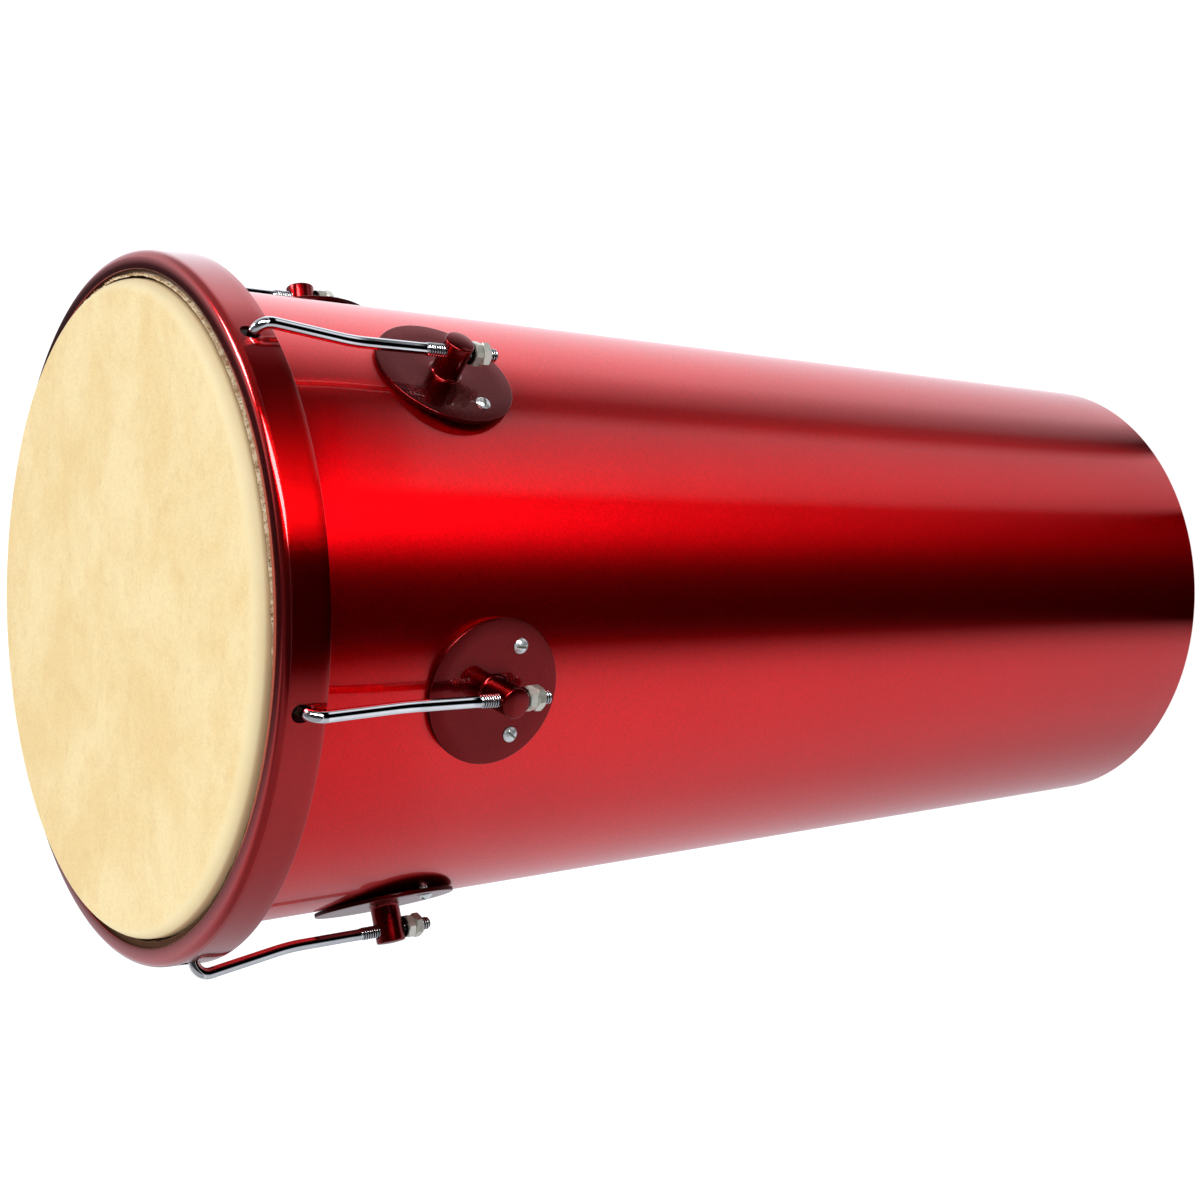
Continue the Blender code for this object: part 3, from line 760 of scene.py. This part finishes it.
def thread_radius(height, angle):
    """The rolled thread's surface, chamfered at the rod's end and run out into the shank."""
    turns = (height - ROD_END) / THREAD_PITCH - angle / TURN
    wave = abs(2 * (turns - math.floor(turns)) - 1)
    crest = min(1.0, max(0.0, 1.35 * wave - 0.12))
    radius = THREAD_ROOT_RADIUS + (THREAD_RADIUS - THREAD_ROOT_RADIUS) * crest
    fade = min(1.0, max(0.0, (THREAD_TOP - height) / THREAD_RUNOUT))
    radius = ROD_RADIUS + (radius - ROD_RADIUS) * fade
    return min(radius, THREAD_ROOT_RADIUS - 0.3 * MM + height - ROD_END)


ROD_SIDES = 36
STEPS_PER_TURN = 12


def make_rod_mesh():
    angles = around(ROD_SIDES)
    rings = []
    steps = round((THREAD_TOP - ROD_END) / THREAD_PITCH * STEPS_PER_TURN)
    for i in range(steps + 1):
        height = ROD_END + (THREAD_TOP - ROD_END) * i / steps
        rings.append([point_at(thread_radius(height, a), a, height) for a in angles])
    path = rod_line()
    path = line((0, THREAD_TOP), path[0], 6) + path
    for i, (x, z) in enumerate(path):
        x0, z0 = path[max(i - 1, 0)]
        x1, z1 = path[min(i + 1, len(path) - 1)]
        span = math.hypot(x1 - x0, z1 - z0)
        ahead = ((x1 - x0) / span, (z1 - z0) / span)
        ring = []
        for a in angles:
            side = ROD_RADIUS * math.cos(a)
            ring.append((x + side * ahead[1], ROD_RADIUS * math.sin(a), z - side * ahead[0]))
        rings.append(ring)
    rod = skinned("rod_blank", rings, CHROME, closed=False, sharp=60)
    mesh = rod.data
    mesh.materials.append(THREAD_CHROME)
    for face in mesh.polygons:
        face.material_index = int(face.center.z < THREAD_TOP - THREAD_RUNOUT)
    bpy.data.objects.remove(rod, do_unlink=True)
    return mesh


def make_rods():
    mesh = make_rod_mesh()
    for number, angle in LUG_ANGLES.items():
        rod = new_object(f"hook_rod_{number}", mesh.copy())
        rod.matrix_world = rod_matrix(angle)
        finish_piece(rod, f"rod_{number}", "chromed_rod", f"tension_rod_{number}")


# Nuts, washers and screws


def hexagon_nut(name, flats, thickness, bore, finish):
    """A hexagonal nut about Z, centred on its origin, with a countersunk bore and its corners turned down to
    a cone on both faces."""
    land = 0.12 * MM
    chamfer = 0.94 * flats / 2
    slope = math.tan(math.radians(30))
    sink = 0.35 * MM
    half = thickness / 2
    rings = [[] for _ in range(10)]
    for a in around(72):
        to_flat = (a + math.pi / 6) % (math.pi / 3) - math.pi / 6
        side = flats / 2 / math.cos(to_flat)
        drop = (side - chamfer) * slope
        section = [
            (bore, half - sink),
            (bore + sink, half),
            (chamfer, half),
            (side, half - drop),
            (side, half - drop - land),
            (side, drop + land - half),
            (side, drop - half),
            (chamfer, -half),
            (bore + sink, -half),
            (bore, sink - half),
        ]
        for ring, (r, z) in zip(rings, section):
            ring.append(point_at(r, a, z))
    return skinned(name, rings, finish, closed=True, sharp=20)


# How far each nut and screw is turned on its own axis, in degrees, from the first lug to the last
TENSION_NUT_TURNS = (4, 22, 41, 13, 33, 52)
LOCK_NUT_TURNS = (24, 47, 9, 38, 2, 17)
SCREW_TURNS = {"a": (145, 80, 15, 60, 120, 70), "b": (174, 20, 140, 5, 50, 150)}


def make_rod_nuts(name, node, top, turns):
    for (number, angle), degrees in zip(LUG_ANGLES.items(), turns):
        bore = THREAD_RADIUS + GAP
        nut = hexagon_nut(f"{name}_{number}", NUT_FLATS, NUT_THICKNESS, bore, NICKEL)
        place = Matrix.Translation((0, 0, top - NUT_THICKNESS / 2))
        own = Matrix.Rotation(math.radians(degrees), 4, "Z")
        nut.data.transform(place @ own)
        nut.matrix_world = rod_matrix(angle)
        finish_piece(nut, f"nuts_{number}", "nickelled_nut", f"{node}_{number}")


def make_washers():
    bore = THREAD_RADIUS + GAP
    edge = 0.4 * MM
    section = [(bore, WASHER_TOP), (WASHER_RADIUS - edge, WASHER_TOP)]
    section += arc((WASHER_RADIUS - edge, WASHER_TOP - edge), edge, 90, 0, 4)[1:]
    section += arc((WASHER_RADIUS - edge, WASHER_TOP - WASHER_THICKNESS + edge), edge, 0, -90, 4)
    section += [(bore, WASHER_TOP - WASHER_THICKNESS)]
    for number, angle in LUG_ANGLES.items():
        washer = turned(f"rod_washer_{number}", section, 48, DARK_STEEL)
        washer.matrix_world = rod_matrix(angle)
        finish_piece(washer, "shell", "dark_washer", f"seat_washer_{number}")


def make_screw_mesh():
    """A round-head slotted screw, its head's underside at height 0."""
    tip = SCREW_NUT_FACE - SCREW_NUT_THICKNESS - SCREW_BEYOND_NUT - PLATE_THICKNESS - GAP
    crown = (SCREW_HEAD_RADIUS**2 + SCREW_HEAD_HEIGHT**2) / (2 * SCREW_HEAD_HEIGHT)
    top_angle = math.degrees(math.acos(0.3 * MM / crown))
    rim_angle = math.degrees(math.asin((crown - SCREW_HEAD_HEIGHT + 0.5 * MM) / crown))
    section = arc((0, SCREW_HEAD_HEIGHT - crown), crown, top_angle, rim_angle, 12)
    section += [(section[-1][0] + 0.05 * MM, 0.15 * MM), (section[-1][0] - 0.1 * MM, 0)]
    section += [(SCREW_RADIUS, 0), (SCREW_RADIUS, tip + 0.5 * MM), (SCREW_RADIUS - 0.5 * MM, tip)]
    screw = turned("screw_blank", section, 48, ZINC, closed=False)
    half_length, half_width, half_depth = 1.5 * SCREW_HEAD_RADIUS, SCREW_SLOT_WIDTH / 2, 1.1 * MM
    corners = ((-1, -1), (1, -1), (1, 1), (-1, 1))
    rings = [[(x * half_length, y * half_width, z * half_depth) for x, y in corners] for z in (-1, 1)]
    slot = skinned("screw_slot", rings, SHADED_ZINC_SLOT, closed=False)
    slot.matrix_world = Matrix.Translation((0, 0, SCREW_HEAD_HEIGHT))
    cut(screw, slot)
    mesh = screw.data
    bpy.data.objects.remove(screw, do_unlink=True)
    return mesh


def make_screws():
    mesh = make_screw_mesh()
    on_plate = PLATE_THICKNESS + 0.02 * MM
    inside = SCREW_NUT_FACE - SCREW_NUT_THICKNESS / 2
    bore = SCREW_RADIUS + GAP
    for side, letter in ((-1, "a"), (1, "b")):
        across = side * SCREW_ACROSS
        for (number, angle), degrees in zip(LUG_ANGLES.items(), SCREW_TURNS[letter]):
            which = f"{number}{letter}"
            screw = new_object(f"plate_screw_{which}", mesh.copy())
            place = Matrix.Translation((SCREW_ALONG, across, on_plate))
            own = Matrix.Rotation(math.radians(degrees), 4, "Z")
            screw.matrix_world = lug_matrix(angle) @ place @ own
            finish_piece(screw, "shell", "zinc_screw", f"lug_screw_{which}")
            nut = hexagon_nut(f"plate_nut_{which}", SCREW_NUT_FLATS, SCREW_NUT_THICKNESS, bore, ZINC)
            nut.matrix_world = lug_matrix(angle) @ Matrix.Translation((SCREW_ALONG, across, inside))
            finish_piece(nut, "shell", "zinc_screw", f"screw_nut_{which}")


# Studio

CAMERA_SIDE = math.atan2(CAMERA_PLACE.y, CAMERA_PLACE.x)
FLOOR_REACH = 12
FLOOR_GREY = (0.35, 0.35, 0.35)
FLOOR_GLOW = 0.85
FLOOR_IN_GLOSS = 0.6


def bare_material(name):
    """A material without nodes but its output, as (material, node tree, output's surface)."""
    material = bpy.data.materials.new(name)
    material.use_nodes = True
    tree = material.node_tree
    tree.nodes.clear()
    return material, tree, tree.nodes.new("ShaderNodeOutputMaterial").inputs["Surface"]


def make_floor():
    """A floor that keeps a soft shadow of the drum, glows white to the camera and less in the gloss."""
    finish, tree, surface = bare_material("pale_floor")
    path = tree.nodes.new("ShaderNodeLightPath")
    diffuse = tree.nodes.new("ShaderNodeBsdfDiffuse")
    feed(tree, diffuse.inputs["Color"], FLOOR_GREY)
    seen = math_node(tree, "MULTIPLY", path.outputs["Is Camera Ray"], FLOOR_GLOW)
    glossy = math_node(tree, "MULTIPLY", path.outputs["Is Glossy Ray"], FLOOR_IN_GLOSS)
    light = tree.nodes.new("ShaderNodeEmission")
    feed(tree, light.inputs["Strength"], math_node(tree, "MAXIMUM", seen, glossy))
    both = tree.nodes.new("ShaderNodeAddShader")
    feed(tree, both.inputs[0], diffuse.outputs[0])
    feed(tree, both.inputs[1], light.outputs[0])
    feed(tree, surface, both.outputs[0])
    corners = [(x * FLOOR_REACH, y * FLOOR_REACH, 0) for x, y in ((-1, -1), (1, -1), (1, 1), (-1, 1))]
    floor = add_mesh("floor", corners, [(0, 1, 2, 3)], finish)
    floor.location.z = -0.4 * MM


# How bright the even light on what is matt is
MATT_LIGHT = 0.9

# How bright the room is in the drum's gloss, by azimuth in degrees, and overhead
ROOM = (
    (-180, 0.35), (-112, 0.38), (-98, 0.03), (-22, 0.02), (4, 0.08), (20, 0.25), (60, 0.5), (70, 0.8),
    (88, 0.8), (91, 0.35), (94, 0.05), (108, 0.03), (112, 0.2), (116, 0.45), (122, 0.7), (150, 0.6),
    (180, 0.35),
)
CEILING = 0.12
# The tint of the studio in the drum's gloss
COOL = (0.98, 1.0, 1.07)


def make_world():
    """White to the camera, an even light on what is matt, and a room with a dark side in the gloss."""
    world = bpy.data.worlds.new("studio")
    bpy.context.scene.world = world
    world.use_nodes = True
    tree = world.node_tree
    nodes = tree.nodes

    def blend(fac, first, second):
        change = math_node(tree, "MULTIPLY", fac, math_node(tree, "SUBTRACT", second, first))
        return math_node(tree, "ADD", first, change)

    direction = nodes.new("ShaderNodeSeparateXYZ")
    feed(tree, direction.inputs[0], nodes.new("ShaderNodeTexCoord").outputs["Generated"])
    azimuth = math_node(tree, "ARCTAN2", direction.outputs["Y"], direction.outputs["X"])
    ramp = nodes.new("ShaderNodeValToRGB")
    feed(tree, ramp.inputs["Fac"], math_node(tree, "ADD", math_node(tree, "DIVIDE", azimuth, TURN), 0.5))
    fill_ramp(ramp, [(degrees / 360 + 0.5, level) for degrees, level in ROOM])
    overhead = nodes.new("ShaderNodeMapRange")
    feed(tree, overhead.inputs["Value"], direction.outputs["Z"])
    feed(tree, overhead.inputs["From Min"], math.sin(math.radians(60)))
    feed(tree, overhead.inputs["From Max"], math.sin(math.radians(80)))
    room = blend(overhead.outputs["Result"], ramp.outputs["Color"], CEILING)
    path = nodes.new("ShaderNodeLightPath")
    level = blend(path.outputs["Is Glossy Ray"], MATT_LIGHT, room)
    level = blend(path.outputs["Is Camera Ray"], level, 1.0)
    tint = nodes.new("ShaderNodeMix")
    tint.data_type = "RGBA"
    feed(tree, tint.inputs[0], path.outputs["Is Glossy Ray"])
    feed(tree, tint.inputs[6], (1, 1, 1))
    feed(tree, tint.inputs[7], COOL)
    background = nodes["Background"]
    feed(tree, background.inputs["Color"], tint.outputs[2])
    feed(tree, background.inputs["Strength"], level)


def level_at(levels, place):
    """The value at a place, on straight lines between (place, value) pairs in rising order."""
    for (low, first), (high, second) in zip(levels, levels[1:]):
        if place <= high:
            return first + (second - first) * max(0.0, (place - low) / (high - low))
    return levels[-1][1]


# How bright the floor is in the drum's gloss, near and far from the drum, by the angle round the shell, in
# degrees, of the wall that mirrors it
NEAR_FLOOR = (
    (-170, 0.7), (-120, 0.7), (-110, 0.85), (-95, 0.95), (-90, 0.85), (-86.5, 0.5), (-83, 0.0),
    (-54.5, 0.0), (-52, 0.6), (-47, 0.85), (-37, 1.0), (-35, 0.5), (-33.5, 0.1), (-30.5, 0.05),
    (-27.5, 0.4), (-24, 0.67), (-20, 1.1), (20, 1.25),
)
FAR_FLOOR = (
    (-170, 0.5), (-120, 0.5), (-100, 0.6), (-92, 0.5), (-88, 0.35), (-84, 0.0), (-35, 0.0),
    (-33, 0.05), (-29, 0.25), (-25, 0.6), (-19, 1.15), (20, 1.3),
)
# Between these distances from the drum, in metres, the near floor changes to the far one
FLOOR_CHANGE = (0.72, 0.85)

# The points of the mirrored floor: distances from the drum in metres, and walls in degrees
CLOTH_DISTANCES = (
    0.0, 0.03, 0.1, 0.2, 0.3, 0.4, 0.5, 0.6, 0.65, 0.7, 0.75, 0.8, 0.9, 1.1, 1.4, 2.0, 3.0, 6.0,
)
FIRST_WALL = math.degrees(CAMERA_SIDE) / 2 - 125
WALL_STEP = 0.5
WALL_COUNT = 361


def cloth_material():
    finish, tree, surface = bare_material("cloths")
    attribute = tree.nodes.new("ShaderNodeAttribute")
    attribute.attribute_name = "level"
    light = tree.nodes.new("ShaderNodeEmission")
    feed(tree, light.inputs["Color"], COOL)
    feed(tree, light.inputs["Strength"], attribute.outputs["Fac"])
    feed(tree, surface, light.outputs[0])
    return finish


def mirrored_floor():
    """White and black cloths on the floor round the drum, which only gloss sees. Each row of points lies
    where one part of the wall mirrors the floor to the camera."""
    vertices = []
    levels = []
    for i in range(WALL_COUNT):
        wall = FIRST_WALL + i * WALL_STEP
        angle = math.radians(wall)
        mirrored = 2 * angle - CAMERA_SIDE
        for distance in CLOTH_DISTANCES:
            x = FOOT_RADIUS * math.cos(angle) + distance * math.cos(mirrored)
            y = FOOT_RADIUS * math.sin(angle) + distance * math.sin(mirrored)
            vertices.append((x, y, 0))
            far = smooth(*FLOOR_CHANGE, distance)
            levels.append(level_at(NEAR_FLOOR, wall) * (1 - far) + level_at(FAR_FLOOR, wall) * far)
    count = len(CLOTH_DISTANCES)
    faces = []
    for i in range(WALL_COUNT - 1):
        for k in range(count - 1):
            corner = i * count + k
            faces.append((corner, corner + 1, corner + count + 1, corner + count))
    cloths = add_mesh("cloths", vertices, faces, cloth_material())
    attribute = cloths.data.attributes.new("level", "FLOAT", "POINT")
    attribute.data.foreach_set("value", levels)
    cloths.location.z = 0.5 * MM
    cloths.visible_camera = False
    cloths.visible_diffuse = False
    cloths.visible_shadow = False
    cloths.visible_transmission = False


def lamp(name, first, last, width, aim, radiance):
    """A rectangular soft light of this radiance, as long as the way from first to last and turned to aim."""
    first, last, aim = Vector(first), Vector(last), Vector(aim)
    data = bpy.data.lights.new(name, "AREA")
    data.shape = "RECTANGLE"
    data.size = (last - first).length
    data.size_y = width
    data.energy = radiance * math.pi * data.size * data.size_y
    light = new_object(name, data)
    middle = (first + last) / 2
    along = (last - first).normalized()
    back = middle - aim
    back = (back - back.dot(along) * along).normalized()
    turn = Matrix((along, back.cross(along), back)).transposed().to_4x4()
    light.matrix_world = Matrix.Translation(middle) @ turn
    light.visible_camera = False
    return light


def seen_from_head(azimuth, elevation, distance):
    """The place that the middle of the head sees at this azimuth and elevation, in degrees."""
    a, e = math.radians(azimuth), math.radians(elevation)
    flat = distance * math.cos(e)
    return (flat * math.cos(a), flat * math.sin(a), HEIGHT + distance * math.sin(e))


def make_lights():
    head = (0, 0, HEIGHT)
    top = lamp("top_light", (-0.85, -0.2, 2.3), (0.65, -0.2, 2.3), 1.5, head, 1.2)
    top.visible_glossy = False
    side = lamp("side_light", seen_from_head(52, 42, 1.3), seen_from_head(23, 50, 1.3), 0.26, head, 22)
    side.visible_diffuse = False
    key = lamp("key_light", seen_from_head(-17, 39, 1.25), seen_from_head(-53.5, -5, 1.25), 0.29, head, 17)
    key.visible_diffuse = False


# Building

bpy.context.scene.view_settings.view_transform = "Standard"
make_camera()
make_shell()
make_hoop()
make_flesh_ring()
make_hide()
make_lugs()
make_rods()
make_rod_nuts("rod_nut", "tension_nut", NUT_TOP, TENSION_NUT_TURNS)
make_rod_nuts("jam_nut", "lock_nut", LOCK_NUT_TOP, LOCK_NUT_TURNS)
make_washers()
make_screws()
make_floor()
make_world()
mirrored_floor()
make_lights()
